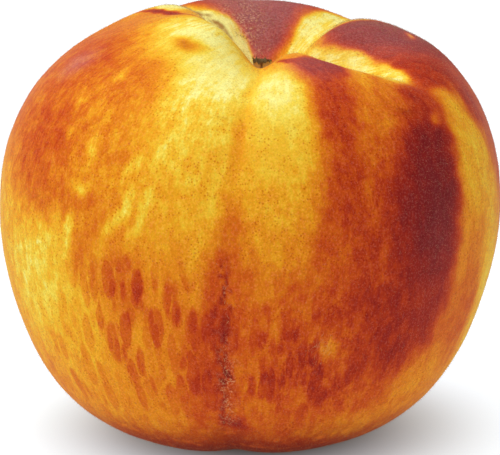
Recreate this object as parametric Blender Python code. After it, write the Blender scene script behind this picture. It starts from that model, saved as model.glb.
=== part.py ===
"""A ripe yellow peach that rests on a small flat spot under its base.

The fruit is one solid: a half profile swept about the stem axis, with a cavity sunk in
its top. The rim of the cavity is raised and lowered into four lobes, and the skin is
pressed in along the suture, the furrow that runs from stem to tip, and along the folds
between the lobes. A dry stub of stem stands in the cavity. The suture is at the front,
towards -Y. Metres, +Z up, with the origin on the resting spot, in the middle of the
footprint.
"""

import math

import bmesh
import bpy
import numpy as np
from mathutils import Matrix, Vector

MM = 0.001

# Driving dimensions, in millimetres and degrees
FRUIT_WIDTH = 78.0
DEPTH_SHARE = 0.955  # front to back against side to side
LEAN_FORWARD = 1.5  # how far the stem axis tips towards the front
FLAT_CUT = 0.35  # height that the fruit's own weight presses flat

# Half profile about the stem axis. A place on it is a turn from the stem end: 0 degrees
# on the floor of the cavity, 90 at the widest part and 180 at the tip under the fruit.
# Fullness 2 is an ellipse, and more makes the shoulder or the cheek squarer.
DOME_HEIGHT = 28.8
DOME_FULLNESS = 3.4
BASE_DEPTH = 37.0
BASE_FULLNESS = 3.8
CHEEK_ROUNDNESS = 1.7  # 2 is an ellipse, and less draws the cheek in towards the base
TOP_SWAY = 0.5  # shift to the right at the stem end, and to the left at the tip
CAVITY_DEPTH = 10.5
CAVITY_RADIUS = 8.5
CAVITY_POWER = 2.4  # more makes the floor flatter and the wall steeper
CAVITY_SHIFT = 1.5  # how far the cavity lies to the right of the fruit's middle
SHIFT_TURNS = (20.0, 60.0)  # where that shift starts to fade, and where it is gone

# The rim round the cavity: the bearing of each lobe and valley from the front, positive
# to the right, how far it is lifted and how far it is moved out, in millimetres
RIM = {
    "left valley": (-135.0, 1.4, 2.0),
    "left lobe, side": (-90.0, 2.0, -2.0),
    "left lobe, front": (-45.0, 1.2, -2.0),
    "suture notch": (-4.0, -4.0, -4.0),
    "front right lobe": (30.0, -2.8, -4.0),
    "right valley": (60.0, -6.8, 0.0),
    "right back lobe": (108.0, -1.0, 0.0),
    "right back valley": (138.0, -0.9, 2.0),
    "back lobe": (178.0, 0.3, 2.0),
}
RIM_TURN = 19.0
RIM_REACH_IN = 9.0
RIM_REACH_OUT = 20.0

# Furrows pressed into the skin. Each row is a turn, with the furrow's bearing there in
# degrees and its depth and half width there in millimetres.
SUTURE = (
    (0.0, -1.0, 0.0, 2.0),
    (9.0, -1.0, 0.5, 2.0),
    (20.0, -1.5, 1.0, 2.5),
    (33.0, -2.0, 1.3, 3.0),
    (50.0, -3.0, 0.8, 3.5),
    (85.0, -5.0, 0.4, 4.0),
    (115.0, -6.0, 0.4, 4.0),
    (145.0, -5.0, 0.8, 3.5),
    (165.0, -3.0, 0.5, 3.0),
    (180.0, -3.0, 0.0, 3.0),
)
RIGHT_FOLD = (
    (0.0, 80.0, 0.0, 1.5),
    (9.0, 76.0, 0.4, 2.0),
    (20.0, 67.0, 1.2, 2.5),
    (38.0, 59.0, 1.2, 3.0),
    (60.0, 57.0, 0.0, 4.0),
)
RIGHT_BACK_FOLD = (
    (0.0, 128.0, 0.0, 2.0),
    (9.0, 130.0, 0.5, 2.0),
    (20.0, 136.0, 1.8, 3.0),
    (38.0, 140.0, 1.0, 4.0),
    (68.0, 142.0, 0.0, 6.0),
)
LEFT_FOLD = (
    (0.0, -126.0, 0.0, 2.0),
    (9.0, -130.0, 0.5, 2.0),
    (20.0, -136.0, 1.4, 3.0),
    (38.0, -140.0, 0.5, 4.0),
    (68.0, -142.0, 0.0, 6.0),
)
FURROWS = (SUTURE, RIGHT_FOLD, RIGHT_BACK_FOLD, LEFT_FOLD)
FURROW_POWER = 1.5  # nearer 1, the bottom of a furrow is sharper

# Dry stub of stem
STUB_WIDTH = 3.0
STUB_HEIGHT = 3.4
STUB_FLARE = 1.15  # foot against waist
FLARE_FADE = 3  # more keeps the flare closer to the foot
RAGGED_FADE = 4  # more keeps the raggedness closer to the top
STUB_RIBS = 4
STUB_RIB_SHARE = 0.05  # how far a rib stands out, as a share of the radius
STUB_RAGGED = 0.45  # how far its broken top goes up and down
STUB_TEETH = ((0.6, 2, 0.7), (0.4, 5, 0.0))  # share, number round the top, start in radians
STUB_GAP = 0.6  # height of its foot above the middle of the floor, which curves up round it

# Meshes
COLUMNS = 96
CAVITY_ROWS = 22
BODY_ROWS = 32
CAVITY_END = 40.0  # turn where the rows get wider
FRONT_CROWDING = 0.3  # share by which the columns are closer together at the suture
SLOPE_STEP = 0.2  # degrees of turn over which the slope of the profile is taken
STUB_SIDES = 14
STUB_RINGS = (0.0, 0.12, 0.4, 0.75, 1.0)  # as shares of its height


def eased(place, places, values):
    """Values at rising places, joined by curves that are level at each place."""
    places, values = np.array(places), np.array(values)
    low = np.clip(np.searchsorted(places, place, side="right") - 1, 0, len(places) - 2)
    share = np.clip((place - places[low]) / (places[low + 1] - places[low]), 0, 1)
    return values[low] + (values[low + 1] - values[low]) * share * share * (3 - 2 * share)


def rim_at(bearing):
    """How far the rim is lifted and moved out at a bearing, in millimetres."""
    middles, lifts, outs = zip(*RIM.values())
    first = middles[0]
    bearing = (bearing - first) % 360 + first
    places = middles + (first + 360,)
    return eased(bearing, places, lifts + lifts[:1]), eased(bearing, places, outs + outs[:1])


def profile_at(turn, bearing):
    """Radius and height of the skin about the stem axis, in millimetres."""
    reach = np.sin(np.radians(turn))
    radius = reach * FRUIT_WIDTH / 2
    dome = DOME_HEIGHT * np.sqrt(1 - reach**DOME_FULLNESS)
    sunk = CAVITY_DEPTH * np.exp(-((radius / CAVITY_RADIUS) ** CAVITY_POWER))
    bowl = -BASE_DEPTH * (1 - reach**BASE_FULLNESS) ** (1 / CHEEK_ROUNDNESS)
    height = np.where(turn < 90, dome - sunk, bowl)
    beyond = turn - RIM_TURN
    near = np.exp(-((beyond / np.where(beyond < 0, RIM_REACH_IN, RIM_REACH_OUT)) ** 2))
    lift, out = rim_at(bearing)
    return radius + out * near, height + lift * near


def press_of(furrow, turn, bearing, radius):
    """How deep a furrow presses at each point, in millimetres."""
    turns, *columns = zip(*furrow)
    middle, depth, width = (eased(turn, turns, column) for column in columns)
    aside = (bearing - middle + 180) % 360 - 180
    away = np.abs(np.radians(aside) * radius) / width
    return depth * np.exp(-(away**FURROW_POWER))


def skin_points(turn, bearing):
    """Points of the skin in metres, about the middle of the fruit."""
    radius, height = profile_at(turn, bearing)
    ahead = profile_at(np.minimum(turn + SLOPE_STEP, 180), bearing)
    behind = profile_at(np.maximum(turn - SLOPE_STEP, 0), bearing)
    slope = np.stack([ahead[0] - behind[0], ahead[1] - behind[1]])
    run, rise = slope / np.linalg.norm(slope, axis=0)
    press = sum(press_of(furrow, turn, bearing, radius) for furrow in FURROWS)
    radius, height = radius + rise * press, height - run * press
    shift = CAVITY_SHIFT * eased(turn, SHIFT_TURNS, (1.0, 0.0))
    sway = TOP_SWAY * height / DOME_HEIGHT
    x = radius * np.sin(np.radians(bearing)) + shift + sway
    y = -radius * np.cos(np.radians(bearing)) * DEPTH_SHARE
    lean = math.radians(LEAN_FORWARD)
    forward = y * math.cos(lean) - height * math.sin(lean)
    up = y * math.sin(lean) + height * math.cos(lean)
    return np.stack([x, forward, up], axis=-1) * MM


def grid():
    """Turns and bearings of the fruit's mesh, with one row for each ring round the axis."""
    cavity = np.linspace(0, CAVITY_END, CAVITY_ROWS + 1)[1:]
    body = np.linspace(CAVITY_END, 180, BODY_ROWS + 1)[1:-1]
    even = np.linspace(-math.pi, math.pi, COLUMNS, endpoint=False)
    crowded = np.degrees(even - FRONT_CROWDING * np.sin(even))
    return np.meshgrid(np.concatenate([cavity, body]), crowded, indexing="ij")


def rest_shift(points):
    """The move that puts the footprint's middle on the origin and the base on Z = 0."""
    low, high = points.min(axis=(0, 1)), points.max(axis=(0, 1))
    return np.array([-(low[0] + high[0]) / 2, -(low[1] + high[1]) / 2, -low[2] - FLAT_CUT * MM])


def material(name, colour, roughness):
    finish = bpy.data.materials.new(name)
    finish.use_nodes = True
    shader = finish.node_tree.nodes["Principled BSDF"]
    shader.inputs["Base Color"].default_value = (*colour, 1)
    shader.inputs["Roughness"].default_value = roughness
    shader.inputs["Metallic"].default_value = 0.0
    finish.diffuse_color = (*colour, 1)
    return finish


def add_object(name, mesh_in, finish):
    mesh = bpy.data.meshes.new(name)
    mesh_in.to_mesh(mesh)
    mesh_in.free()
    mesh.shade_smooth()
    mesh.materials.append(finish)
    made = bpy.data.objects.new(name, mesh)
    bpy.context.scene.collection.objects.link(made)
    return made


def closed_rings(rings, first, last):
    """A closed mesh of rings of points, with a point to close it at each end."""
    made = bmesh.new()
    rows = [[made.verts.new(point) for point in ring] for ring in rings]
    start, end = made.verts.new(first), made.verts.new(last)
    count = len(rows[0])
    for k in range(count):
        ahead = (k + 1) % count
        made.faces.new((start, rows[0][k], rows[0][ahead]))
        made.faces.new((end, rows[-1][ahead], rows[-1][k]))
        for above, below in zip(rows, rows[1:]):
            made.faces.new((above[k], below[k], below[ahead], above[ahead]))
    bmesh.ops.recalc_face_normals(made, faces=made.faces)
    return made


def press_flat(mesh):
    """Takes off what lies below Z = 0 and closes the fruit there with one flat face."""
    whole = mesh.verts[:] + mesh.edges[:] + mesh.faces[:]
    bmesh.ops.bisect_plane(mesh, geom=whole, plane_co=(0, 0, 0), plane_no=(0, 0, -1), clear_outer=True)
    edge = [e for e in mesh.edges if e.is_boundary]
    bmesh.ops.edgeloop_fill(mesh, edges=edge)
    bmesh.ops.recalc_face_normals(mesh, faces=mesh.faces)


def add_fruit(finish):
    """The fruit, closed by the middle of the cavity's floor above and the tip below."""
    points = skin_points(*grid())
    shift = rest_shift(points)
    floor, tip = skin_points(np.array([0.0, 180.0]), np.zeros(2)) + shift
    mesh = closed_rings((points + shift).tolist(), floor.tolist(), tip.tolist())
    press_flat(mesh)
    add_object("fruit", mesh, finish)
    return Vector(floor)


def add_stem_stub(floor, finish):
    """A short stub, wider at its foot, with a ragged top where the stalk broke off."""
    turn = np.linspace(0, 2 * math.pi, STUB_SIDES, endpoint=False)
    ragged = sum(share * np.sin(count * turn + start) for share, count, start in STUB_TEETH)
    ribbed = STUB_WIDTH / 2 * (1 + STUB_RIB_SHARE * np.cos(STUB_RIBS * turn))
    rings = []
    for share in STUB_RINGS:
        radius = ribbed * (1 + (STUB_FLARE - 1) * (1 - share) ** FLARE_FADE)
        height = STUB_HEIGHT * share + STUB_RAGGED * ragged * share**RAGGED_FADE
        rings.append(np.stack([radius * np.cos(turn), radius * np.sin(turn), height], axis=-1))
    worn_middle = STUB_HEIGHT - STUB_RAGGED
    mesh = closed_rings((np.array(rings) * MM).tolist(), (0, 0, 0), (0, 0, worn_middle * MM))
    stub = add_object("stem_stub", mesh, finish)
    lean = Matrix.Rotation(math.radians(LEAN_FORWARD), 4, "X")
    stub.rotation_euler = lean.to_euler()
    stub.location = floor + lean @ Vector((0, 0, STUB_GAP * MM))


def main():
    for old in list(bpy.data.objects):
        bpy.data.objects.remove(old)
    floor = add_fruit(material("Peach skin", (0.83, 0.30, 0.06), 0.55))
    add_stem_stub(floor, material("Dry stem", (0.16, 0.08, 0.03), 0.9))


if __name__ == "__main__":
    main()
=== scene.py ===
# A ripe yellow peach: its skin and blush, the dry stem end, the down, and soft studio light
import math
import bpy
import numpy as np
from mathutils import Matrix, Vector, noise


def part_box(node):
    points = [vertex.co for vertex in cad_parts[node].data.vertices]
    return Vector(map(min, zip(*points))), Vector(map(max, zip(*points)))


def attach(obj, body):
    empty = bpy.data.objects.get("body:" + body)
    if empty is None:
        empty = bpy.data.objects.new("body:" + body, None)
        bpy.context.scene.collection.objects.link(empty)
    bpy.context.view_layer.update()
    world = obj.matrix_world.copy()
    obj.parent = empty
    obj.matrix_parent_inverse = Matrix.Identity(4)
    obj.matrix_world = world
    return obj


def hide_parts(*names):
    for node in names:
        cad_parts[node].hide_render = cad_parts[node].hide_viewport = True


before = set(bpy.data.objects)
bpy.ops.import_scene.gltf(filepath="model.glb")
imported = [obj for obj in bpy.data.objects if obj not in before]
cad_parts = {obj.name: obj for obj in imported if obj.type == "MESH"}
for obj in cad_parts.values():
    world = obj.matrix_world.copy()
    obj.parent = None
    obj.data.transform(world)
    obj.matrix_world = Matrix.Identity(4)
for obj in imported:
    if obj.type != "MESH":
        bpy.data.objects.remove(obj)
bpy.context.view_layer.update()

mm = 0.001
print("solid model loaded")

# the fruit's form in millimetres and degrees, the same as the solid's
# a turn runs from 0 on the cavity's floor over 90 at the widest part to 180 at the tip,
# and a bearing is 0 at the front, positive to the right
form = {
    "width": 78.0, "depthShare": 0.955, "lean": 1.5, "flatCut": 0.35,
    "domeHeight": 28.8, "domeFullness": 3.4, "topSway": 0.5,
    "baseDepth": 37.0, "baseFullness": 3.8, "cheekRoundness": 1.7,
    "cavityDepth": 10.5, "cavityRadius": 8.5, "cavityPower": 2.4,
    "cavityShift": 1.5, "shiftTurns": (20.0, 60.0),
    "rimTurn": 19.0, "rimReachIn": 9.0, "rimReachOut": 20.0,
    "furrowPower": 1.5, "slopeStep": 0.2,
    # bearing, lift and move out of the lobes and valleys round the cavity
    "rim": (
        (-135.0, 1.4, 2.0),
        (-90.0, 2.0, -2.0),
        (-45.0, 1.2, -2.0),
        (-4.0, -4.0, -4.0),
        (30.0, -2.8, -4.0),
        (60.0, -6.8, 0.0),
        (108.0, -1.0, 0.0),
        (138.0, -0.9, 2.0),
        (178.0, 0.3, 2.0),
    ),
    # turn, bearing, depth and half width along each furrow
    "furrows": (
        (
            (0.0, -1.0, 0.0, 2.0),
            (9.0, -1.0, 0.5, 2.0),
            (20.0, -1.5, 1.0, 2.5),
            (33.0, -2.0, 1.3, 3.0),
            (50.0, -3.0, 0.8, 3.5),
            (85.0, -5.0, 0.4, 4.0),
            (115.0, -6.0, 0.4, 4.0),
            (145.0, -5.0, 0.8, 3.5),
            (165.0, -3.0, 0.5, 3.0),
            (180.0, -3.0, 0.0, 3.0),
        ),
        (
            (0.0, 80.0, 0.0, 1.5),
            (9.0, 76.0, 0.4, 2.0),
            (20.0, 67.0, 1.2, 2.5),
            (38.0, 59.0, 1.2, 3.0),
            (60.0, 57.0, 0.0, 4.0),
        ),
        (
            (0.0, 128.0, 0.0, 2.0),
            (9.0, 130.0, 0.5, 2.0),
            (20.0, 136.0, 1.8, 3.0),
            (38.0, 140.0, 1.0, 4.0),
            (68.0, 142.0, 0.0, 6.0),
        ),
        (
            (0.0, -126.0, 0.0, 2.0),
            (9.0, -130.0, 0.5, 2.0),
            (20.0, -136.0, 1.4, 3.0),
            (38.0, -140.0, 0.5, 4.0),
            (68.0, -142.0, 0.0, 6.0),
        ),
    ),
}


def eased(place, places, values):
    places, values = np.array(places), np.array(values)
    low = np.clip(np.searchsorted(places, place, side="right") - 1, 0, len(places) - 2)
    share = np.clip((place - places[low]) / (places[low + 1] - places[low]), 0, 1)
    return values[low] + (values[low + 1] - values[low]) * share * share * (3 - 2 * share)


def asideOf(bearing, middle):
    return (bearing - middle + 180) % 360 - 180


def rimAt(bearing):
    places, lifts, outs = zip(*form["rim"])
    bearing = (bearing - places[0]) % 360 + places[0]
    places += (places[0] + 360,)
    return eased(bearing, places, lifts + lifts[:1]), eased(bearing, places, outs + outs[:1])


def profileAt(turn, bearing):
    reach = np.sin(np.radians(turn))
    radius = reach * form["width"] / 2
    dome = form["domeHeight"] * np.sqrt(1 - reach ** form["domeFullness"])
    sunk = form["cavityDepth"] * np.exp(-((radius / form["cavityRadius"]) ** form["cavityPower"]))
    bowl = -form["baseDepth"] * (1 - reach ** form["baseFullness"]) ** (1 / form["cheekRoundness"])
    height = np.where(turn < 90, dome - sunk, bowl)
    beyond = turn - form["rimTurn"]
    near = np.exp(-((beyond / np.where(beyond < 0, form["rimReachIn"], form["rimReachOut"])) ** 2))
    lift, out = rimAt(bearing)
    return radius + out * near, height + lift * near


def pressOf(furrow, turn, bearing, radius):
    turns, *columns = zip(*furrow)
    middle, depth, width = (eased(turn, turns, column) for column in columns)
    away = np.abs(np.radians(asideOf(bearing, middle)) * radius) / width
    return depth * np.exp(-(away ** form["furrowPower"]))


def smoothSkin(turn, bearing):
    radius, height = profileAt(turn, bearing)
    ahead = profileAt(np.minimum(turn + form["slopeStep"], 180), bearing)
    behind = profileAt(np.maximum(turn - form["slopeStep"], 0), bearing)
    slope = np.stack([ahead[0] - behind[0], ahead[1] - behind[1]])
    run, rise = slope / np.linalg.norm(slope, axis=0)
    press = sum(pressOf(furrow, turn, bearing, radius) for furrow in form["furrows"])
    radius, height = radius + rise * press, height - run * press
    shift = form["cavityShift"] * eased(turn, form["shiftTurns"], (1.0, 0.0))
    sway = form["topSway"] * height / form["domeHeight"]
    x = radius * np.sin(np.radians(bearing)) + shift + sway
    y = -radius * np.cos(np.radians(bearing)) * form["depthShare"]
    lean = math.radians(form["lean"])
    forward = y * math.cos(lean) - height * math.sin(lean)
    up = y * math.sin(lean) + height * math.cos(lean)
    return np.stack([x, forward, up], axis=-1) * mm


def noiseAt(points, size, seed):
    # smooth noise about zero, with bumps this many millimetres across
    places = points.reshape(-1, 3) / (size * mm) + seed * 17.3
    return np.array([noise.noise(Vector(place)) for place in places]).reshape(points.shape[:-1])


# one brush stroke: bearing, turn, half width, half length, slant, tone, cover and edge,
# where a higher edge number gives a firmer edge
# tones: 0 butter yellow, 0.12 golden, 0.36 orange, 0.48 orange red, 0.6 red, 0.8 crimson, 1 maroon
blushStrokes = (
    # hidden side and base
    (180, 90, 60, 60, 0, 0.26, 0.9, 2),
    (150, 76, 26, 40, 0, 0.60, 0.8, 1),
    (-158, 84, 22, 34, 0, 0.42, 0.8, 1),
    (122, 96, 10, 32, 0, 0.72, 0.8, 1),
    (98, 88, 9, 26, 0, 0.38, 0.7, 1),
    (-118, 74, 18, 30, 0, 0.36, 0.8, 1),
    (-104, 112, 26, 20, 0, 0.15, 0.8, 1),
    (-138, 104, 8, 26, 0, 0.12, 0.7, 1),
    (176, 128, 34, 16, 0, 0.32, 0.7, 1),
    # lower front, red over gold
    (0, 128, 62, 28, 0, 0.43, 0.95, 2),
    (8, 108, 32, 16, 0, 0.47, 0.9, 1.5),
    (4, 92, 9, 12, 0, 0.38, 0.85, 1),
    # the strip at the very bottom is painted deeper red, partly as painted shade of the underside
    (0, 142, 60, 12, 0, 0.57, 0.9, 1.5),
    # yellow shoulders beside the suture
    (-42, 27, 36, 11, 0, -0.01, 0.97, 2),
    (-14, 41, 21, 16, 0, 0.0, 0.97, 2),
    (-14, 60, 13, 11, 0, 0.07, 0.9, 1.2),
    (7, 46, 10, 17, 0, 0.0, 0.97, 1.5),
    (5, 66, 9, 12, 0, 0.11, 0.9, 1),
    (4, 80, 9, 9, 0, 0.21, 0.85, 1),
    # a golden line down the upper suture: the skin's own tint, and painted shade on the groove's left
    # wall
    (-1.5, 38, 2.2, 12, 0, 0.12, 0.8, 1.5),
    (-14, 74, 12, 13, 0, 0.14, 0.85, 1),
    (-13, 88, 8, 9, 0, 0.20, 0.85, 1.5),
    # left cheek
    (-78, 58, 40, 29, 0, 0.42, 0.95, 2.5),
    (-40, 47, 12, 9, 0, 0.36, 0.85, 1.5),
    (-34, 64, 9, 10, 0, 0.30, 0.85, 1),
    (-60, 66, 10, 11, 0, 0.50, 0.8, 1.5),
    (-70, 44, 16, 8, 0, 0.50, 0.7, 1),
    (-54, 78, 7, 5, 0, 0.50, 0.7, 1),
    (-41, 80, 7, 5, 0, 0.42, 0.8, 1),
    (-37, 30.5, 7, 2.6, 0, 0.36, 0.8, 1),
    (-46, 46, 2.5, 2.5, 0, 0.12, 0.7, 1),
    (-52, 55, 2.5, 2.5, 0, 0.12, 0.7, 1),
    (-45, 56, 2.5, 2, 0, 0.12, 0.7, 1),
    (-41, 66, 2, 4.5, 0, 0.10, 0.8, 1),
    (-41.5, 76, 2.6, 1.8, 0, 0.08, 0.9, 1.5),
    (-49, 63, 1.4, 3, -1, 0.14, 0.7, 1),
    (-30.8, 83, 1.7, 9, -4, 0.05, 0.95, 1.5),
    (-28, 70, 2.0, 3.5, -1.5, 0.09, 0.85, 1.5),
    (-24, 78, 1.4, 8, -3, 0.09, 0.8, 1.2),
    (-22, 66, 1.6, 7, -3, 0.09, 0.8, 1.2),
    (-37, 87, 3.5, 8, -2, 0.38, 0.85, 1),
    (-43.5, 87, 1.8, 5, -1, 0.06, 0.9, 1.5),
    (-57, 99, 15, 15, 0, 0.07, 0.97, 1.4),
    (-43, 101, 4, 7, 0, 0.11, 0.8, 1.2),
    (-38, 106, 2.5, 5, 0, 0.14, 0.7, 1.2),
    (-80, 92, 12, 20, 0, 0.15, 0.9, 1.5),
    (-40, 93, 1.6, 6, -2, 0.34, 0.8, 1),
    # lower left
    (-26, 98, 9, 12, 2, 0.35, 0.9, 1.5),
    (-27, 99, 4.5, 6, 0, 0.46, 0.8, 1),
    (-21, 95, 1.6, 6, 0, 0.20, 0.8, 1),
    (-16.5, 97, 1.8, 8, 0, 0.44, 0.8, 1),
    (-25, 107, 1.4, 3, 0, 0.20, 0.8, 1),
    (-44, 114, 14, 11, 0, 0.15, 0.9, 1),
    (-38, 126, 26, 8, 0, 0.25, 0.85, 1),
    (-21, 113, 7, 8, 0, 0.30, 0.8, 1),
    # along the suture
    (-2.6, 62, 1.8, 11, 0, 0.27, 0.8, 1),
    (-3.6, 80, 2.6, 4, 0, 0.44, 0.8, 1),
    (-6.8, 93, 3.0, 8, 0, 0.51, 0.9, 1.5),
    (-4.0, 88, 1.6, 6, 0, 0.50, 0.7, 1.5),
    (-8.5, 111, 4.0, 16, 0, 0.53, 0.95, 2),
    (-12, 121, 3.5, 9, 0, 0.54, 0.8, 1),
    (-2, 99, 2.4, 14, 0, 0.46, 0.8, 1),
    (1, 112, 1.6, 10, 0, 0.40, 0.6, 1),
    # lower right
    (9, 104, 1.8, 9, 0, 0.54, 0.8, 1),
    (11, 116, 3.0, 10, 0, 0.56, 0.7, 1),
    (15, 92, 5, 8, 0, 0.44, 0.8, 1),
    (24, 112, 19, 14, 0, 0.55, 0.95, 2),
    (12, 122, 4, 3, 0, 0.46, 0.8, 1),
    (30, 118, 4, 3, 0, 0.44, 0.8, 1),
    # right cheek
    (25, 80, 10.5, 26, 0, 0.60, 0.97, 2.5),
    (41, 86, 15, 30, -3, 0.67, 0.97, 3),
    (22.5, 56, 5.5, 14, -2, 0.57, 0.95, 1.5),
    (39, 50, 10, 12, -4, 0.37, 0.95, 1.8),
    (31, 64, 5, 7, 0, 0.43, 0.8, 1),
    (27, 76, 2.6, 9, 0, 0.47, 0.7, 1),
    (20, 88, 2.6, 8, 0, 0.45, 0.7, 1),
    (31, 92, 2.2, 8, 0, 0.48, 0.6, 1),
    (17.5, 108, 3.4, 3.4, 0, 0.30, 0.9, 1.5),
    (53, 53, 8, 9, 0, 0.65, 0.95, 2),
    (45, 84, 11, 25, -3, 0.77, 0.95, 2),
    (49, 67, 9, 8, 0, 0.78, 0.95, 2),
    (46, 82, 7.5, 20, 0, 0.90, 0.9, 1.2),
    (39, 106, 12, 10, 0, 0.69, 0.95, 1.5),
    (52.8, 60, 1.6, 1.3, 0, 0.30, 0.9, 1),
    (86, 68, 12, 30, 0, 0.58, 0.85, 2),
    (63, 84, 9, 31, -3, 0.16, 0.97, 3),
    (60, 93, 8, 9, 0, 0.36, 0.85, 1),
    (60, 109, 9, 13, 0, 0.46, 0.95, 2),
    (52, 120, 11, 8, 0, 0.30, 0.9, 2),
    (74, 106, 7, 20, 0, 0.12, 0.9, 1.5),
    (34, 131, 18, 6, 0, 0.33, 0.85, 1.5),
    (70.5, 46, 11, 9, 0, 0.70, 0.95, 2.5),
    (77, 58, 8, 9, 0, 0.68, 0.9, 2),
    # lobes and valleys at the back, with the yellow fold beside the front right lobe
    (101, 33, 25, 23, 0, 0.80, 0.97, 3),
    (134, 20, 15, 20, 0, 0.04, 0.97, 3),
    (-126, 19, 17, 18, 0, 0.02, 0.97, 2),
    (-176, 27, 34, 15, 0, 0.76, 0.97, 3),
    (178, 14, 25, 7.5, 0, 0.76, 0.95, 2.5),
    (178, 46, 24, 22, 0, 0.74, 0.8, 1),
    (-134, 15, 20, 12, 31, -0.02, 0.97, 6),
    (139, 17, 13, 12, 0, 0.01, 0.97, 5),
    (-92, 12, 24, 7, 0, 0.04, 0.9, 1),
    (60, 30, 13, 17, -9, 0.03, 0.97, 4),
    (78, 13.5, 14, 6, 0, 0.03, 0.97, 3),
    (80, 18, 7, 4.5, 0, 0.03, 0.97, 3),
    (92, 9, 30, 6, 0, 0.03, 0.97, 2.5),
    (76, 21.5, 8.5, 5.5, -4, 0.03, 0.95, 4),
    (64, 28, 5, 3, 0, 0.13, 0.7, 1),
    (74, 38, 9, 14, -11.4, 0.66, 0.95, 5),
    (99, 38, 3.5, 1.4, 0, 0.16, 0.9, 1),
    # front right lobe
    (26, 33, 11, 8.5, 0, 0.73, 0.97, 2),
    (27, 37, 8, 6, 0, 0.70, 0.95, 2),
    (25, 47, 7, 8, 0, 0.62, 0.9, 1.5),
    (38.5, 42, 4.5, 4.5, 0, 0.20, 0.85, 1.5),
    (42, 43.5, 2.5, 1.6, 0, 0.50, 0.7, 1),
)
# sharper marks, whose edges are only a little ragged
lineStrokes = (
    (-5.3, 97, 0.6, 8, 0, 0.82, 0.65, 1),
    (-6.0, 113, 0.9, 9, 0, 0.80, 0.60, 1),
    (-6.4, 124, 1.3, 4, 0, 0.85, 0.65, 1),
    # a dark red line along the left lobe's crest: painted shade of the gap behind it
    (-96, 25.2, 4.5, 7, -19, 0.80, 0.9, 1.5),
    (16.5, 25.5, 4.5, 4.2, 3, 0.70, 0.9, 2),
    (-2.7, 127.5, 3.0, 2.4, 0, 0.80, 0.75, 1),
)
# where the red stands in long dabs, where it streaks, where it is brown or darkened as painted shade, and
# where it is scarred
# the tone of these strokes is how strong the effect is
dabStrokes = (
    (-26, 105, 17, 17, 0, 1.0, 1.0, 1.5),
    (8, 112, 16, 14, 0, 0.85, 1.0, 1),
    (-48, 120, 22, 12, 0, 0.6, 1.0, 1),
    (-150, 110, 20, 20, 0, 0.6, 1.0, 1),
)
mottleStrokes = (
    (-62, 62, 36, 32, 0, 0.85, 1.0, 2),
    (26, 66, 16, 34, 0, 0.75, 1.0, 1),
    (20, 108, 24, 18, 0, 0.70, 1.0, 1),
    (-28, 108, 22, 20, 0, 0.12, 0.95, 2),
    (46, 84, 11, 24, 0, 0.2, 0.9, 2),
    (-20, 32, 32, 13, 0, -0.06, 0.95, 2),
    (5, 48, 12, 22, 0, 0.0, 0.9, 2),
    (-134, 15, 20, 12, 31, 0.05, 0.95, 4),
    (100, 31, 24, 22, 0, 0.25, 0.9, 2),
    (178, 20, 34, 20, 0, 0.25, 0.9, 2),
)
brownAndShadeStrokes = (
    # the crease under the stem, darkened as painted shade
    (-1, 7, 12, 6, 0, 0.5, 0.9, 1),
    # the underside darkened as painted shade, deepest where the suture runs under the tip
    (-6, 140, 8, 8, 0, 0.6, 0.8, 1),
    (0, 142, 75, 11, 0, 0.8, 0.9, 1.5),
    (44, 56, 3, 1.6, 0, 0.5, 0.8, 1),
    (-37, 30.5, 4, 1.4, 0, 0.3, 0.8, 1),
)
scarStrokes = (
    (-5.0, 96, 0.6, 5, 0, 0.4, 1.0, 1),
    (-5.0, 115, 1.5, 8, 0, 0.75, 1.0, 1),
    (-5.2, 124, 1.8, 5, 0, 0.6, 1.0, 1),
    (17.5, 108, 2.4, 1.8, 0, 0.3, 1.0, 1),
    (-166, 15, 16, 9, 0, 0.75, 1.0, 1.5),
)
# thin brown lines: painted shade in the gap behind the left lobe, the cracked suture and a few scratches
brownAndShadeLines = (
    # painted shade along the gap behind the left lobe's crest
    (-139, 15, 3.2, 5.5, 8, 1.0, 0.95, 1.5),
    (-5.2, 97, 0.5, 8, 0, 0.5, 0.95, 1),
    (-5.6, 113, 0.8, 8, 0, 0.4, 0.95, 1),
    (-8.2, 54.4, 0.5, 1.8, 3.5, 0.28, 0.9, 2),
    (-2.4, 56, 0.45, 3.2, 1.9, 0.22, 0.9, 2),
    (39, 51.5, 0.6, 2.2, 2.1, 0.40, 0.9, 2),
)
# painted sheen of the thick down: a grey-pink veil over the red where the down catches the light
paintedSheenStrokes = (
    (101, 30, 25, 18, 0, 0.17, 1.0, 2),
    (-177, 21, 30, 16, 0, 0.26, 1.0, 3),
    (24, 32, 14, 9, 0, 0.12, 1.0, 1.5),
    (48, 92, 8, 18, 0, 0.03, 1.0, 1),
    (-72, 47, 7, 4, 0, 0.30, 1.0, 1),
    (86, 70, 12, 26, 0, 0.11, 1.0, 2),
    (-90, 60, 14, 40, 0, 0.10, 1.0, 1),
)
brush = {
    # what the bare ground has of each
    "blush": 0.22, "dabs": 0.12, "mottle": 0.45, "brownAndShade": 0.0, "scar": 0.0, "paintedSheen": 0.0,
    # how far the strokes' edges wander: bump size in mm, wander in degrees of bearing and of turn
    "wanders": ((7.0, 1.8, 1.8), (2.4, 1.1, 1.3)),
    "ragged": (1.3, 2.6),  # the same for the lines and the scars, in bearing only
}


def painted(strokes, ground, turn, bearing):
    total = np.full(turn.shape, ground, dtype=float)
    for middle, place, halfWidth, halfLength, slant, tone, cover, edge in strokes:
        along = (turn - place) / halfLength
        aside = asideOf(bearing, middle + slant * along) / halfWidth
        shape = np.exp(-((aside**2 + along**2) ** edge))
        total += (tone - total) * cover * shape
    return total


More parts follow.
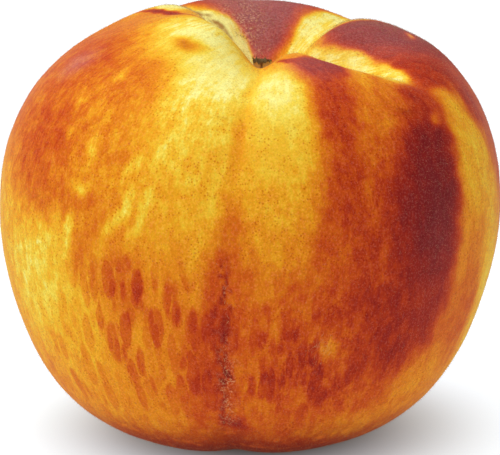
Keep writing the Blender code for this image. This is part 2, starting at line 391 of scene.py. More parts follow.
# small unevenness of the skin, in millimetres
# the four turns of a mark are where it starts, is full, begins to fade and ends
relief = {
    # bearing, turn, half width, half length and height of soft swellings and hollows
    "touches": (
        (-90, 24, 10, 6, -0.6),
        (-58, 18, 16, 6, 0.5),
        (-36, 31, 6, 3, -0.15),
        (17.5, 108, 3, 2, -0.12),
        (12, 60, 4, 20, 0.15),
    ),
    "bumps": ((9.0, 0.14), (2.6, 0.035)),  # size and height of the wide and the small bumps
    # the edge of the front right lobe, as turns and bearings, that laps over the fold
    "foldEdge": ((20, 8), (24, 18), (28, 30), (32, 34), (37, 38), (42, 46), (48, 53), (54, 58)),
    "foldDrop": 0.5, "foldStep": 0.2, "foldReach": 7.0, "foldTurns": (16.0, 30.0, 42.0, 54.0),
    # fine pleats that run up from the stem
    "pleats": 19, "pleatDepth": 0.07, "pleatTurns": (3.0, 7.0, 12.0, 20.0),
    "pleatBend": (4.0, 2.5),  # size of the noise and how far it bends them
    "pleatVary": (3.0, 0.6, 0.8),  # size of the noise, middle strength and how much it varies
    # the sharp line at the bottom of the upper suture
    "seamPath": ((20.0, -0.6), (34.0, -1.4), (52.0, -2.4), (84.0, -3.8)),
    "seamDepth": 0.22, "seamWidth": 0.55, "seamTurns": (20.0, 27.0, 48.0, 84.0),
    # cracks along the lower suture
    "crackPath": ((84.0, -4.4), (108.0, -5.2), (136.0, -6.0)),
    "crackDepth": 0.22, "crackWidth": 0.55, "crackTurns": (84.0, 96.0, 126.0, 136.0),
    "crackWander": (1.6, 0.5), "crackVary": (1.1, 0.6, 0.9),
}
# rows and columns of the skin's mesh, with the columns crowded towards the front
grid = {"cavityRows": 80, "bodyRows": 170, "cavityEnd": 42.0, "columns": 390, "crowding": 0.4}


def strengthAt(turn, turns):
    start, full, fade, end = turns
    return np.clip((turn - start) / (full - start), 0, 1) * np.clip((end - turn) / (end - fade), 0, 1)


def besidePath(path, turn, bearing):
    # the angle, in radians, to the right of a path of turns and bearings
    turns, bearings = zip(*path)
    return np.radians(asideOf(bearing, np.interp(turn, turns, bearings)))


def unevenness(points, turn, bearing):
    reach = np.sin(np.radians(turn)) * form["width"] / 2
    total = np.zeros(turn.shape)
    for seed, (size, height) in enumerate(relief["bumps"], 1):
        total += height * noiseAt(points, size, seed)
    for middle, place, halfWidth, halfLength, lift in relief["touches"]:
        aside = asideOf(bearing, middle) / halfWidth
        total += lift * np.exp(-(aside**2) - ((turn - place) / halfLength) ** 2)
    # the fold is a step down beside the lobe's edge, which levels out further on
    beyond = besidePath(relief["foldEdge"], turn, bearing) * reach
    step = 1 / (1 + np.exp(-beyond / relief["foldStep"]))
    drop = relief["foldDrop"] * step * np.exp(-np.clip(beyond, 0, None) / relief["foldReach"])
    total -= drop * strengthAt(turn, relief["foldTurns"])
    size, bend = relief["pleatBend"]
    wave = np.cos(np.radians(bearing) * relief["pleats"] + bend * noiseAt(points, size, 3))
    size, middle, vary = relief["pleatVary"]
    wave *= middle + vary * noiseAt(points, size, 4)
    total += relief["pleatDepth"] * wave * strengthAt(turn, relief["pleatTurns"])
    away = np.abs(besidePath(relief["seamPath"], turn, bearing)) * reach
    depth = relief["seamDepth"] * np.exp(-away / relief["seamWidth"])
    total -= depth * strengthAt(turn, relief["seamTurns"])
    size, wander = relief["crackWander"]
    away = besidePath(relief["crackPath"], turn, bearing) * form["width"] / 2
    away += wander * noiseAt(points, size, 5)
    size, middle, vary = relief["crackVary"]
    depth = relief["crackDepth"] * np.clip(middle + vary * noiseAt(points, size, 6), 0, None)
    depth *= np.exp(-((away / relief["crackWidth"]) ** 2))
    return total - depth * strengthAt(turn, relief["crackTurns"])


def outwardOf(points):
    along = np.gradient(points, axis=0)
    across = np.roll(points, -1, axis=1) - np.roll(points, 1, axis=1)
    normal = np.cross(across, along)
    normal /= np.maximum(np.linalg.norm(normal, axis=-1, keepdims=True), 1e-12)
    inward = ((points - points.mean(axis=(0, 1))) * normal).sum() < 0
    return -normal if inward else normal


def skinGrid():
    cavity = np.linspace(0, grid["cavityEnd"], grid["cavityRows"] + 1)[1:]
    body = np.linspace(grid["cavityEnd"], 180, grid["bodyRows"] + 1)[1:-1]
    even = np.linspace(-math.pi, math.pi, grid["columns"], endpoint=False)
    crowded = np.degrees(even - grid["crowding"] * np.sin(even))
    return np.meshgrid(np.concatenate([cavity, body]), crowded, indexing="ij")


def shapeSkin():
    # the whole surface as a grid of points, with its normals, standing where the solid stands
    turn, bearing = skinGrid()
    points = smoothSkin(turn, bearing)
    low, high = (np.array(corner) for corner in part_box("fruit"))
    shift = (low + high - points.min(axis=(0, 1)) - points.max(axis=(0, 1))) / 2
    shift[2] = low[2] - points[..., 2].min() - form["flatCut"] * mm
    points = points + shift
    outward = outwardOf(points)
    points = points + outward * (unevenness(points, turn, bearing) * mm)[..., None]
    points[..., 2] = np.maximum(points[..., 2], 0)
    ends = smoothSkin(np.array([0.0, 180.0]), np.zeros(2)) + shift
    ends[1][2] = 0
    return {"turn": turn, "bearing": bearing, "points": points, "outward": outward, "ends": ends}


def onSkin(surface, turn, bearing):
    # points and normals of the finished skin at any turns and bearings
    turns, bearings = surface["turn"][:, 0], surface["bearing"][0]
    rows = np.clip(np.interp(turn, turns, np.arange(len(turns))), 0, len(turns) - 1.001)
    wrapped = np.append(bearings, bearings[0] + 360)
    columns = np.interp(asideOf(bearing, 0), wrapped, np.arange(len(wrapped)))
    row, column = rows.astype(int), columns.astype(int) % len(bearings)
    after = (column + 1) % len(bearings)
    along, across = (rows - row)[..., None], (columns - columns.astype(int))[..., None]
    found = []
    for field in (surface["points"], surface["outward"]):
        upper = field[row, column] * (1 - across) + field[row, after] * across
        lower = field[row + 1, column] * (1 - across) + field[row + 1, after] * across
        found.append(upper * (1 - along) + lower * along)
    return found


# small helpers for the materials' nodes
def newFinish(name):
    finish = bpy.data.materials.new(name)
    finish.use_nodes = True
    return finish, finish.node_tree, finish.node_tree.nodes["Principled BSDF"]


def feed(tree, socket, value):
    if isinstance(value, bpy.types.NodeSocket):
        tree.links.new(value, socket)
    else:
        socket.default_value = value


def valueOf(tree, name):
    read = tree.nodes.new("ShaderNodeAttribute")
    read.attribute_name = name
    return read.outputs["Fac"]


def placeOf(tree, name, stretch):
    read = tree.nodes.new("ShaderNodeAttribute")
    read.attribute_name = name
    scale = tree.nodes.new("ShaderNodeVectorMath")
    scale.operation = "MULTIPLY"
    tree.links.new(read.outputs["Vector"], scale.inputs[0])
    scale.inputs[1].default_value = stretch
    return scale.outputs["Vector"]


def grainOf(tree, across, along):
    # places counted in cells across and down, per radian
    return placeOf(tree, "grain", (across, across, along))


def spotOf(tree):
    return tree.nodes.new("ShaderNodeTexCoord").outputs["Object"]


def sumOf(tree, operation, first, second, third=0.0):
    step = tree.nodes.new("ShaderNodeMath")
    step.operation = operation
    for socket, value in zip(step.inputs, (first, second, third)):
        feed(tree, socket, value)
    return step.outputs["Value"]


def productOf(tree, first, second):
    return sumOf(tree, "MULTIPLY", first, second)


def noiseOf(tree, place, scale, detail=2.0, roughness=0.5):
    grains = tree.nodes.new("ShaderNodeTexNoise")
    feed(tree, grains.inputs["Vector"], place)
    grains.inputs["Scale"].default_value = scale
    grains.inputs["Detail"].default_value = detail
    grains.inputs["Roughness"].default_value = roughness
    return grains.outputs["Fac"]


def cloudOf(tree, spot, size, detail=2.0, roughness=0.5):
    # noise with bumps this many millimetres across
    return noiseOf(tree, spot, 1 / (size * mm), detail, roughness)


def rangeOf(tree, value, fromLow, fromHigh, toLow=0.0, toHigh=1.0):
    ease = tree.nodes.new("ShaderNodeMapRange")
    ease.interpolation_type = "SMOOTHSTEP"
    feed(tree, ease.inputs["Value"], value)
    ends = {"From Min": fromLow, "From Max": fromHigh, "To Min": toLow, "To Max": toHigh}
    for name, number in ends.items():
        ease.inputs[name].default_value = number
    return ease.outputs["Result"]


def blendOf(tree, share, first, second, way="MIX"):
    blend = tree.nodes.new("ShaderNodeMix")
    blend.data_type = "RGBA"
    blend.blend_type = way
    feed(tree, blend.inputs["Factor"], share)
    feed(tree, blend.inputs["A"], (*first, 1) if isinstance(first, tuple) else first)
    feed(tree, blend.inputs["B"], (*second, 1) if isinstance(second, tuple) else second)
    return blend.outputs["Result"]


def cellsOf(tree, place, scale, edge, spread):
    # a spot in the middle of each cell, larger in some cells than in others
    cells = tree.nodes.new("ShaderNodeTexVoronoi")
    feed(tree, cells.inputs["Vector"], place)
    cells.inputs["Scale"].default_value = scale
    pick = tree.nodes.new("ShaderNodeSeparateColor")
    tree.links.new(cells.outputs["Color"], pick.inputs["Color"])
    away = sumOf(tree, "MULTIPLY_ADD", pick.outputs["Red"], -spread, cells.outputs["Distance"])
    return rangeOf(tree, away, *edge, 1.0, 0.0)


def warpedOf(tree, place, scale, amount):
    # the same places pushed about by noise, so that cells lose their straight edges
    bend = tree.nodes.new("ShaderNodeTexNoise")
    feed(tree, bend.inputs["Vector"], place)
    bend.inputs["Scale"].default_value = scale
    move = tree.nodes.new("ShaderNodeVectorMath")
    move.operation = "MULTIPLY_ADD"
    tree.links.new(bend.outputs["Color"], move.inputs[0])
    move.inputs[1].default_value = (amount,) * 3
    tree.links.new(place, move.inputs[2])
    return move.outputs["Vector"]


def rampOf(tree, value, tones):
    ramp = tree.nodes.new("ShaderNodeValToRGB")
    stops = ramp.color_ramp.elements
    stops[0].position, stops[1].position = tones[0][0], tones[-1][0]
    stops[0].color, stops[1].color = (*tones[0][1], 1), (*tones[-1][1], 1)
    for place, tone in tones[1:-1]:
        stops.new(place).color = (*tone, 1)
    tree.links.new(value, ramp.inputs["Fac"])
    return ramp.outputs["Color"]


def bumpOf(tree, shader, heights):
    # heights are pairs of a socket and the height in millimetres that it stands for
    normal = None
    for height, size in heights:
        bump = tree.nodes.new("ShaderNodeBump")
        bump.inputs["Distance"].default_value = size * mm
        tree.links.new(height, bump.inputs["Height"])
        if normal:
            tree.links.new(normal, bump.inputs["Normal"])
        normal = bump.outputs["Normal"]
    tree.links.new(normal, shader.inputs["Normal"])


skinLook = {
    # the blush from none to full: place on the scale and colour
    "tones": (
        (0.00, (0.96, 0.89, 0.290)),
        (0.06, (0.92, 0.69, 0.075)),
        (0.12, (0.90, 0.53, 0.028)),
        (0.20, (0.87, 0.38, 0.013)),
        (0.30, (0.80, 0.255, 0.008)),
        (0.42, (0.69, 0.145, 0.006)),
        (0.52, (0.60, 0.080, 0.006)),
        (0.62, (0.48, 0.040, 0.006)),
        (0.74, (0.33, 0.018, 0.008)),
        (0.86, (0.22, 0.012, 0.012)),
        (1.00, (0.15, 0.010, 0.014)),
    ),
    # streaks along the fruit: cells across and down per radian, detail, roughness and depth on the scale
    "streaks": ((32.0, 11.0, 3.0, 0.62, 0.08), (80.0, 40.0, 2.0, 0.6, 0.055)), "streakEdge": (0.36, 0.64),
    # long and small dabs of deeper red: cells across and down per radian, and depth on the scale
    "dabs": ((17.0, 6.5, 0.16), (28.0, 11.0, 0.08)),
    "dabWarp": (0.9, 0.6), "dabEdge": (0.27, 0.40), "dabSpread": 0.28,
    # clouds without a direction: size in mm, detail and roughness
    "cloud": (2.2, 4.0, 0.62), "cloudEdge": (0.38, 0.62), "cloudDepth": 0.10, "leastMottle": 0.15,
    # breathing dots in clusters, fewer on the palest skin: spacing and size of a cluster in mm
    "dotSpacing": 0.46, "dotEdge": (0.072, 0.24), "dotSpread": 0.20, "dotTone": (0.80, 0.56, 0.34),
    "dotCluster": 3.5, "clusterShare": (0.38, 0.60, 0.25, 1.0), "paleShare": (0.0, 0.16, 0.35, 1.0),
    # fine light and dark grain of the down lying on the skin, with pale painted glints where its hairs
    # catch the light
    "velvet": (0.32, 2.0, 0.6), "velvetShade": (0.30, 0.70, 0.90, 1.07),
    "paintedGlints": (0.85, 0.62, 0.50), "paintedGlintsEdge": (0.50, 0.70), "paintedGlintsShare": 0.05,
    # brown places and painted shade, scars with pale and dark flakes, and the painted grey-pink sheen of
    # thick down
    "brownAndShade": (0.42, 0.20, 0.13), "brownAndShadeEdge": (0.25, 0.5),
    "flake": (0.40, 4.0, 0.75), "flakeShare": (0.42, 0.58, 0.25, 1.0),
    "scar": (0.70, 0.38, 0.18), "scarEdge": (0.52, 0.58),
    "scarDark": (0.16, 0.02, 0.012), "scarDarkEdge": (0.46, 0.41),
    "paintedSheen": (0.62, 0.40, 0.42), "paintedSheenShare": (0.30, 0.65, 0.5, 1.0),
    "roughness": (0.3, 0.7, 0.55, 0.70), "gloss": 0.04,
    "sheen": 0.03, "sheenRoughness": 0.4, "sheenTint": (1.0, 0.85, 0.75, 1),
    "cloudBump": 0.05, "velvetBump": 0.035,  # heights in mm
}


def skinFinish():
    finish, tree, shader = newFinish("peach_skin")
    look = skinLook
    spot = spotOf(tree)
    # streaks and clouds push the painted blush up and down its scale
    layers = []
    for across, along, detail, roughness, depth in look["streaks"]:
        streaks = noiseOf(tree, grainOf(tree, across, along), 1.0, detail, roughness)
        layers.append((rangeOf(tree, streaks, *look["streakEdge"]), depth))
    cloud = cloudOf(tree, spot, *look["cloud"])
    layers.append((rangeOf(tree, cloud, *look["cloudEdge"]), look["cloudDepth"]))
    strength = sumOf(tree, "ADD", valueOf(tree, "mottle"), look["leastMottle"])
    ripeness = valueOf(tree, "blush")
    for layer, depth in layers:
        share = productOf(tree, sumOf(tree, "SUBTRACT", layer, 0.5), depth)
        ripeness = sumOf(tree, "MULTIPLY_ADD", share, strength, ripeness)
    # long dabs of deeper red, each of its own size
    for across, along, depth in look["dabs"]:
        cells = warpedOf(tree, grainOf(tree, across, along), *look["dabWarp"])
        dab = productOf(tree, cellsOf(tree, cells, 1.0, look["dabEdge"], look["dabSpread"]), depth)
        ripeness = sumOf(tree, "MULTIPLY_ADD", dab, valueOf(tree, "dabs"), ripeness)
    colour = rampOf(tree, ripeness, look["tones"])
    dot = cellsOf(tree, spot, 1 / (look["dotSpacing"] * mm), look["dotEdge"], look["dotSpread"])
    clusters = cloudOf(tree, spot, look["dotCluster"])
    dot = productOf(tree, dot, rangeOf(tree, clusters, *look["clusterShare"]))
    dot = productOf(tree, dot, rangeOf(tree, ripeness, *look["paleShare"]))
    colour = blendOf(tree, dot, colour, blendOf(tree, 1.0, colour, look["dotTone"], "MULTIPLY"))
    velvet = cloudOf(tree, spot, *look["velvet"])
    shade = rangeOf(tree, velvet, *look["velvetShade"])
    tint = tree.nodes.new("ShaderNodeCombineColor")
    for channel in ("Red", "Green", "Blue"):
        tree.links.new(shade, tint.inputs[channel])
    colour = blendOf(tree, 1.0, colour, tint.outputs["Color"], "MULTIPLY")
    # painted glints: pale flecks where the down's hairs catch the light
    paintedGlints = productOf(tree, rangeOf(tree, velvet, *look["paintedGlintsEdge"]), look["paintedGlintsShare"])
    colour = blendOf(tree, paintedGlints, colour, look["paintedGlints"])
    # brown marks and painted shade: the same darkening gives the skin's brown marks and the shade behind
    # the left lobe, under the stem and on the underside
    brownedAndShaded = blendOf(tree, 1.0, colour, look["brownAndShade"], "MULTIPLY")
    brownAndShade = productOf(tree, valueOf(tree, "brownAndShade"), rangeOf(tree, cloud, *look["brownAndShadeEdge"]))
    colour = blendOf(tree, brownAndShade, colour, brownedAndShaded)
    flake = cloudOf(tree, spot, *look["flake"])
    scar = productOf(tree, valueOf(tree, "scar"), rangeOf(tree, cloud, *look["flakeShare"]))
    for name in ("scar", "scarDark"):
        flakes = productOf(tree, scar, rangeOf(tree, flake, *look[name + "Edge"]))
        colour = blendOf(tree, flakes, colour, look[name])
    # painted sheen of the thick down, mixed into the colour as grey-pink
    paintedSheen = productOf(tree, valueOf(tree, "paintedSheen"), rangeOf(tree, velvet, *look["paintedSheenShare"]))
    colour = blendOf(tree, paintedSheen, colour, look["paintedSheen"])
    tree.links.new(colour, shader.inputs["Base Color"])
    tree.links.new(rangeOf(tree, velvet, *look["roughness"]), shader.inputs["Roughness"])
    shader.inputs["Specular IOR Level"].default_value = look["gloss"]
    shader.inputs["Sheen Weight"].default_value = look["sheen"]
    shader.inputs["Sheen Roughness"].default_value = look["sheenRoughness"]
    shader.inputs["Sheen Tint"].default_value = look["sheenTint"]
    bumpOf(tree, shader, ((cloud, look["cloudBump"]), (velvet, look["velvetBump"])))
    return finish


def addPiece(name, mesh, finish, smooth=True):
    piece = bpy.data.objects.new(name, mesh)
    bpy.context.scene.collection.objects.link(piece)
    mesh.materials.append(finish)
    mesh.polygons.foreach_set("use_smooth", [smooth] * len(mesh.polygons))
    return piece


def giveValues(mesh, name, values, ends):
    layer = mesh.attributes.new(name, "FLOAT", "POINT")
    layer.data.foreach_set("value", np.concatenate([values.ravel(), ends]).astype(np.float32))


def givePlaces(mesh, name, places, ends):
    layer = mesh.attributes.new(name, "FLOAT_VECTOR", "POINT")
    every = np.concatenate([places.reshape(-1, 3), ends]).astype(np.float32)
    layer.data.foreach_set("vector", every.ravel())


def makeSkin(surface):
    turn, bearing, points = surface["turn"], surface["bearing"], surface["points"]
    count, across = turn.shape
    index = np.arange(count * across).reshape(count, across)
    after = np.roll(index, -1, axis=1)
    quads = np.stack([index[:-1], index[1:], after[1:], after[:-1]], axis=-1).reshape(-1, 4).tolist()
    top, tip = count * across, count * across + 1
    fans = [(top, first, second) for first, second in zip(index[0].tolist(), after[0].tolist())]
    fans += [(tip, second, first) for first, second in zip(index[-1].tolist(), after[-1].tolist())]
    mesh = bpy.data.meshes.new("skin")
    mesh.from_pydata(np.concatenate([points.reshape(-1, 3), surface["ends"]]).tolist(), [], quads + fans)
    # let the strokes' edges wander, so that none reads as an ellipse
    askew, along = bearing.copy(), turn.copy()
    for seed, (size, sideways, lengthways) in enumerate(brush["wanders"]):
        askew += sideways * noiseAt(points, size, 10 + seed)
        along += lengthways * noiseAt(points, size, 20 + seed)
    size, sideways = brush["ragged"]
    ragged = bearing + sideways * noiseAt(points, size, 30)
    # the pair at the end of each line is for the middle of the cavity and the tip
    blush = painted(blushStrokes, brush["blush"], along, askew)
    giveValues(mesh, "blush", painted(lineStrokes, blush, turn, ragged), (0.8, 0.2))
    giveValues(mesh, "dabs", painted(dabStrokes, brush["dabs"], along, askew), (0.0, 0.0))
    giveValues(mesh, "mottle", painted(mottleStrokes, brush["mottle"], along, askew), (0.2, 0.4))
    # brown marks together with painted shade behind the left lobe, under the stem and on the underside
    brownAndShade = painted(brownAndShadeStrokes, brush["brownAndShade"], along, askew)
    giveValues(mesh, "brownAndShade", painted(brownAndShadeLines, brownAndShade, turn, ragged), (0.8, 0.3))
    giveValues(mesh, "scar", painted(scarStrokes, brush["scar"], turn, ragged), (0.0, 0.0))
    # painted sheen of the thick down
    giveValues(mesh, "paintedSheen", painted(paintedSheenStrokes, brush["paintedSheen"], along, askew), (0.0, 0.0))
    angle = np.radians(bearing)
    grain = np.stack([np.cos(angle), np.sin(angle), np.radians(turn)], axis=-1)
    givePlaces(mesh, "grain", grain, ((0, 0, 0), (0, 0, math.pi)))
    skin = addPiece("skin", mesh, skinFinish())
    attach(skin, "root")
    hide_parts("fruit")
    print("skin made,", len(mesh.polygons), "faces")


def unitOf(arrows):
    return arrows / np.linalg.norm(arrows, axis=1, keepdims=True)


def spikeMesh(name, roots, ways, lengths, widths):
    # slim closed spikes of three sides, for down, dry flecks and splinters
    ways = unitOf(ways)
    helper = np.where(np.abs(ways[:, 2:]) < 0.9, (0.0, 0.0, 1.0), (1.0, 0.0, 0.0))
    side = unitOf(np.cross(ways, helper))
    other = np.cross(ways, side)
    corners = []
    for angle in np.radians((0, 120, 240)):
        turned = side * math.cos(angle) + other * math.sin(angle)
        corners.append(roots + turned * (widths / 2)[:, None])
    corners.append(roots + ways * lengths[:, None])
    points = np.stack(corners, axis=1).reshape(-1, 3)
    first = np.arange(len(roots))[:, None, None] * 4
    faces = (first + np.array([(0, 2, 1), (0, 1, 3), (1, 2, 3), (2, 0, 3)])).reshape(-1, 3)
    mesh = bpy.data.meshes.new(name)
    mesh.from_pydata(points.tolist(), [], faces.tolist())
    return mesh


# the dry end of the stalk, in millimetres
stem = {
    "sides": 36, "rings": 16, "width": 2.5, "height": 3.7, "root": 0.9,
    "flareTop": 0.12, "flareTopPower": 6, "flareBase": 0.25, "flareBaseReach": 0.12,
    "ribs": 7, "ribDepth": 0.07, "ribBend": 3, "bumps": 1.3, "bumpDepth": 0.16,
    "teeth": 4.0, "toothDepth": 0.55, "crackWidth": 0.12, "rimFade": 13,
    "pith": (0.86, 0.62, 0.30),  # rings of the sunken middle, as shares of the width
    "pithStep": 0.8, "pithDepth": 0.9, "pithDip": 0.1,
    "splinters": 26, "splinterLength": (0.25, 0.75), "splinterWidth": 0.16, "splinterRoot": 0.15,
    "splinterInset": 0.93, "splinterLean": 0.5, "splinterStray": 0.35, "seed": 4,
    "rim": (0.10, 0.045, 0.016), "body": (0.62, 0.47, 0.16), "crack": (0.10, 0.05, 0.015),
    "fibres": (9.0, 9.0, 1.6), "fibreGrain": (3.0, 0.65),
    "dryEdge": (0.25, 0.75), "crackEdge": (0.60, 0.68),
    "grit": (0.22, 3.0, 0.6), "gritShare": 0.25, "roughness": 0.85, "gloss": 0.2,
    "fibreBump": 0.10, "gritBump": 0.05,
}


def stemFinish():
    finish, tree, shader = newFinish("dry_stem")
    fibre = noiseOf(tree, placeOf(tree, "fibre", stem["fibres"]), 1.0, *stem["fibreGrain"])
    grit = cloudOf(tree, spotOf(tree), *stem["grit"])
    dryness = sumOf(tree, "ADD", valueOf(tree, "dryness"), sumOf(tree, "SUBTRACT", fibre, 0.5))
    colour = blendOf(tree, rangeOf(tree, dryness, *stem["dryEdge"]), stem["body"], stem["rim"])
    colour = blendOf(tree, rangeOf(tree, fibre, *stem["crackEdge"]), colour, stem["crack"])
    colour = blendOf(tree, productOf(tree, grit, stem["gritShare"]), colour, stem["body"])
    tree.links.new(colour, shader.inputs["Base Color"])
    shader.inputs["Roughness"].default_value = stem["roughness"]
    shader.inputs["Specular IOR Level"].default_value = stem["gloss"]
    bumpOf(tree, shader, ((fibre, stem["fibreBump"]), (grit, stem["gritBump"])))
    return finish


def makeStem():
    # a short dry end of the stalk, broken off ragged, its root sunk in the cavity's floor
    low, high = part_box("stem_stub")
    foot = Vector(((low.x + high.x) / 2, (low.y + high.y) / 2, low.z))
    sides = stem["sides"]
    angles = np.linspace(0, 2 * math.pi, sides, endpoint=False)
    around = np.stack([np.cos(angles), np.sin(angles)], axis=-1)
    bumps = np.array([noise.noise(Vector((*spot, stem["seed"]))) for spot in around * stem["bumps"]])
    teeth = np.array([noise.noise(Vector((*spot, stem["seed"] + 5))) for spot in around * stem["teeth"]])
    tops = stem["height"] - stem["toothDepth"] * (0.5 + teeth)
    rows, dryness, fibres = [], [], []
    for share in np.linspace(0, 1, stem["rings"]):
        swell = 1 + stem["flareBase"] * math.exp(-share / stem["flareBaseReach"])
        swell += stem["flareTop"] * share ** stem["flareTopPower"]
        ribs = stem["ribDepth"] * np.cos(angles * stem["ribs"] + stem["ribBend"] * bumps)
        radius = stem["width"] / 2 * (swell + ribs + stem["bumpDepth"] * bumps)
        height = share * (tops + stem["root"]) - stem["root"]
        rows.append(np.column_stack([around * radius[:, None], height]))
        crack = np.exp(-(((angles - 1.5 * math.pi) / stem["crackWidth"]) ** 2))
        dryness.append(share ** stem["rimFade"] + crack)
        fibres.append(np.column_stack([around, np.full(sides, share)]))
    for inward in stem["pith"]:
        sunk = tops - stem["pithDepth"] * (1 - inward**2)
        rows.append(np.column_stack([rows[-1][:, :2] * stem["pithStep"], sunk]))
        dryness.append(np.ones(sides))
        fibres.append(np.column_stack([around * inward, np.ones(sides)]))
    points = np.concatenate(rows)
    ends = np.array([(0, 0, -stem["root"]), (0, 0, float(points[-sides:, 2].mean()) - stem["pithDip"])])
    index = np.arange(len(points)).reshape(-1, sides)
    after = np.roll(index, -1, axis=1)
    quads = np.stack([index[:-1], after[:-1], after[1:], index[1:]], axis=-1).reshape(-1, 4).tolist()
    fans = [(len(points), b, a) for a, b in zip(index[0].tolist(), after[0].tolist())]
    fans += [(len(points) + 1, a, b) for a, b in zip(index[-1].tolist(), after[-1].tolist())]
    mesh = bpy.data.meshes.new("stemEnd")
    mesh.from_pydata(((np.concatenate([points, ends])) * mm + np.array(foot)).tolist(), [], quads + fans)
    giveValues(mesh, "dryness", np.concatenate(dryness), (0.0, 1.0))
    givePlaces(mesh, "fibre", np.concatenate(fibres), ((0, 0, 0), (0, 0, 1)))
    finish = stemFinish()
    end = addPiece("stemEnd", mesh, finish)
    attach(end, "root")
    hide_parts("stem_stub")
    # splinters left standing on the broken rim
    chance = np.random.default_rng(stem["seed"])
    picks = chance.integers(0, sides, stem["splinters"])
    inset = stem["splinterInset"]
    roots = rows[stem["rings"] - 1][picks] * (inset, inset, 1.0) - (0, 0, stem["splinterRoot"])
    ways = np.column_stack([around[picks] * stem["splinterLean"], np.ones(len(picks))])
    ways += chance.normal(0, stem["splinterStray"], ways.shape)
    lengths = chance.uniform(*stem["splinterLength"], len(picks)) * mm
    widths = np.full(len(picks), stem["splinterWidth"] * mm)
    splinters = spikeMesh("stemSplinters", roots * mm + np.array(foot), ways, lengths, widths)
    giveValues(splinters, "dryness", np.ones(len(splinters.vertices)), ())
    splinters = addPiece("stemSplinters", splinters, finish, smooth=False)
    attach(splinters, "root")
    print("stem end made")


# the down, in millimetres
down = {
    "count": 42000, "length": (0.22, 0.50), "width": 0.016, "rootDepth": 0.02, "clearance": 0.6,
    "cosines": (-0.97, 0.995),  # of the turns between which it grows
    "slope": 0.9, "stray": 0.5, "leastRise": 0.25, "tone": (0.60, 0.35, 0.19, 1), "roughness": 0.9,
    # thicker patches: bearing, turn, spread across and down, count
    "patches": (
        (-5.2, 110, 1.4, 14, 200),  # suture
        (180, 20, 30, 8, 2500),  # back of the cavity
        (-120, 14, 30, 8, 3000),  # its left side
        (110, 26, 24, 14, 6000),  # its right side
    ),
    "patchTurns": (4, 170), "seed": 8,
}
# the plain finish of hairs and flecks: size of its specks in mm and how dark they are
plain = {"speck": 0.9, "dark": 0.72, "gloss": 0.05}


def plainFinish(name, tone, roughness):
    finish, tree, shader = newFinish(name)
    dark = tuple(channel * plain["dark"] for channel in tone[:3])
    colour = blendOf(tree, cloudOf(tree, spotOf(tree), plain["speck"]), dark, tone[:3])
    tree.links.new(colour, shader.inputs["Base Color"])
    shader.inputs["Roughness"].default_value = roughness
    shader.inputs["Specular IOR Level"].default_value = plain["gloss"]
    return finish


def layDown(name, surface, turn, bearing, finish, chance):
    roots, outward = onSkin(surface, turn, bearing)
    keep = roots[:, 2] > down["clearance"] * mm
    roots, outward = roots[keep], unitOf(outward[keep])
    fall = np.array((0.0, 0.0, -1.0)) + outward * outward[:, 2:]
    ways = outward + down["slope"] * fall * chance.uniform(0, 1, (len(roots), 1))
    ways += chance.normal(0, down["stray"], ways.shape)
    rise = (ways * outward).sum(axis=1, keepdims=True)
    ways += outward * np.clip(down["leastRise"] - rise, 0, None)
    lengths = chance.uniform(*down["length"], len(roots)) * mm
    widths = np.full(len(roots), down["width"] * mm)
    mesh = spikeMesh(name, roots - outward * down["rootDepth"] * mm, ways, lengths, widths)
    piece = addPiece(name, mesh, finish, smooth=False)
    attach(piece, "root")
    print(name, "has", len(roots), "hairs")


def makeDown(surface):
    finish = plainFinish("peach_down", down["tone"], down["roughness"])
    chance = np.random.default_rng(down["seed"])
    for name, middle in (("downLeft", -90.0), ("downRight", 90.0)):
        turn = np.degrees(np.arccos(chance.uniform(*down["cosines"], down["count"])))
        bearing = middle + chance.uniform(-90, 90, down["count"])
        layDown(name, surface, turn, bearing, finish, chance)
    turns, bearings = [], []
    for middle, place, across, along, count in down["patches"]:
        turns.append(np.clip(chance.normal(place, along, count), *down["patchTurns"]))
        bearings.append(chance.normal(middle, across, count))
    layDown("downPatches", surface, np.concatenate(turns), np.concatenate(bearings), finish, chance)


# curly dry flecks, in millimetres
scurf = {
    # bearing, turn, spread across and down, count
    "patches": (
        (-4.9, 96, 0.4, 4, 5),
        (-5.3, 111, 0.6, 5, 16),
        (-5.7, 123, 1.0, 4, 34),
        (17.5, 108, 1.8, 1.4, 20),
        (180, 14, 11, 4, 90),
    ),
    "length": (0.25, 0.90), "width": 0.06, "curl": 0.6, "rise": 0.12,
    "tone": (0.74, 0.40, 0.18, 1), "roughness": 0.8, "seed": 12,
}


def makeScurf(surface):
    chance = np.random.default_rng(scurf["seed"])
    turns, bearings = [], []
    for middle, place, across, along, count in scurf["patches"]:
        turns.append(chance.normal(place, along, count))
        bearings.append(chance.normal(middle, across, count))
    roots, outward = onSkin(surface, np.concatenate(turns), np.concatenate(bearings))
    outward = unitOf(outward)
    ways = chance.normal(0, scurf["curl"], roots.shape)
    ways += np.array((0.0, 0.0, -1.0)) * chance.choice((-1, 1), (len(roots), 1))
    ways += outward * (scurf["rise"] - (ways * outward).sum(axis=1, keepdims=True))
    lengths = chance.uniform(*scurf["length"], len(roots)) * mm
    widths = np.full(len(roots), scurf["width"] * mm)
    finish = plainFinish("dry_scurf", scurf["tone"], scurf["roughness"])
    mesh = spikeMesh("sutureScurf", roots, ways, lengths, widths)
    piece = addPiece("sutureScurf", mesh, finish, smooth=False)
    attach(piece, "root")
    print("scurf made,", len(roots), "flecks")


# the camera stands where the picture was taken from
view = {"distance": 0.45, "elevation": 14.0, "lens": 207.0, "sensor": 36.0, "targetHeight": 32.2}


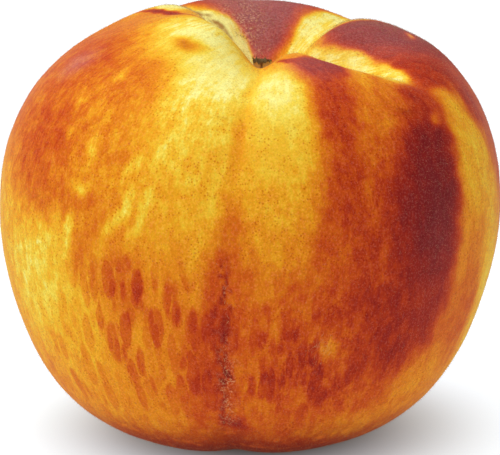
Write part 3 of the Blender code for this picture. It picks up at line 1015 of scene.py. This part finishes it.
def makeCamera():
    camera = bpy.data.objects.new("camera", bpy.data.cameras.new("camera"))
    bpy.context.scene.collection.objects.link(camera)
    up = math.radians(view["elevation"])
    back = Vector((0, -math.cos(up), math.sin(up)))
    camera.location = Vector((0, 0, view["targetHeight"] * mm)) + back * view["distance"]
    camera.rotation_euler = (math.pi / 2 - up, 0, 0)
    camera.data.lens = view["lens"]
    camera.data.sensor_width = view["sensor"]
    bpy.context.scene.camera = camera
    print("camera set")


studio = {
    "worldStrength": 0.36,
    "lampPlace": (-1.12, -0.25, 3.25), "lampAim": (0, 0, 0.03), "lampSize": 5.0,  # metres
    "lampPower": 156.0,
    "floorSize": 14.0, "floorTone": (0.27, 0.30, 0.32, 1), "floorRoughness": 0.9,
    # the paper glows a little, but the glow fades out round the fruit, which paints a contact shadow:
    # middle of that painted shadow and its reach in mm
    "floorTint": (0.94, 0.975, 1.0, 1), "floorGlow": 0.85,
    "paintedShadowCentre": (1.5, 0.0, 0.0), "paintedShadowReach": (8.0, 43.0),
}


def makeStudio():
    world = bpy.data.worlds.new("paper white")
    bpy.context.scene.world = world
    world.use_nodes = True
    world.node_tree.nodes["Background"].inputs["Color"].default_value = (1, 1, 1, 1)
    world.node_tree.nodes["Background"].inputs["Strength"].default_value = studio["worldStrength"]
    lamp = bpy.data.objects.new("topLamp", bpy.data.lights.new("topLamp", "AREA"))
    lamp.data.size = studio["lampSize"]
    lamp.data.energy = studio["lampPower"]
    lamp.location = studio["lampPlace"]
    aim = Vector(studio["lampAim"]) - lamp.location
    lamp.rotation_euler = aim.to_track_quat("-Z", "Y").to_euler()
    bpy.context.scene.collection.objects.link(lamp)
    half = studio["floorSize"] / 2
    corners = [(-half, -half, 0), (half, -half, 0), (half, half, 0), (-half, half, 0)]
    mesh = bpy.data.meshes.new("floor")
    mesh.from_pydata(corners, [], [(0, 1, 2, 3)])
    finish, tree, shader = newFinish("floor_paper")
    shader.inputs["Base Color"].default_value = studio["floorTone"]
    shader.inputs["Roughness"].default_value = studio["floorRoughness"]
    # the glow fades out near the fruit: a painted contact shadow on the floor
    away = tree.nodes.new("ShaderNodeVectorMath")
    away.operation = "DISTANCE"
    tree.links.new(spotOf(tree), away.inputs[0])
    away.inputs[1].default_value = Vector(studio["paintedShadowCentre"]) * mm
    near, far = (reach * mm for reach in studio["paintedShadowReach"])
    glowWithPaintedShadow = rangeOf(tree, away.outputs["Value"], near, far, 0.0, studio["floorGlow"])
    tree.links.new(glowWithPaintedShadow, shader.inputs["Emission Strength"])
    shader.inputs["Emission Color"].default_value = studio["floorTint"]
    addPiece("floor", mesh, finish)
    bpy.context.scene.view_settings.view_transform = "Standard"
    print("studio ready")


makeCamera()
makeStudio()
surface = shapeSkin()
makeSkin(surface)
makeStem()
makeScurf(surface)
makeDown(surface)
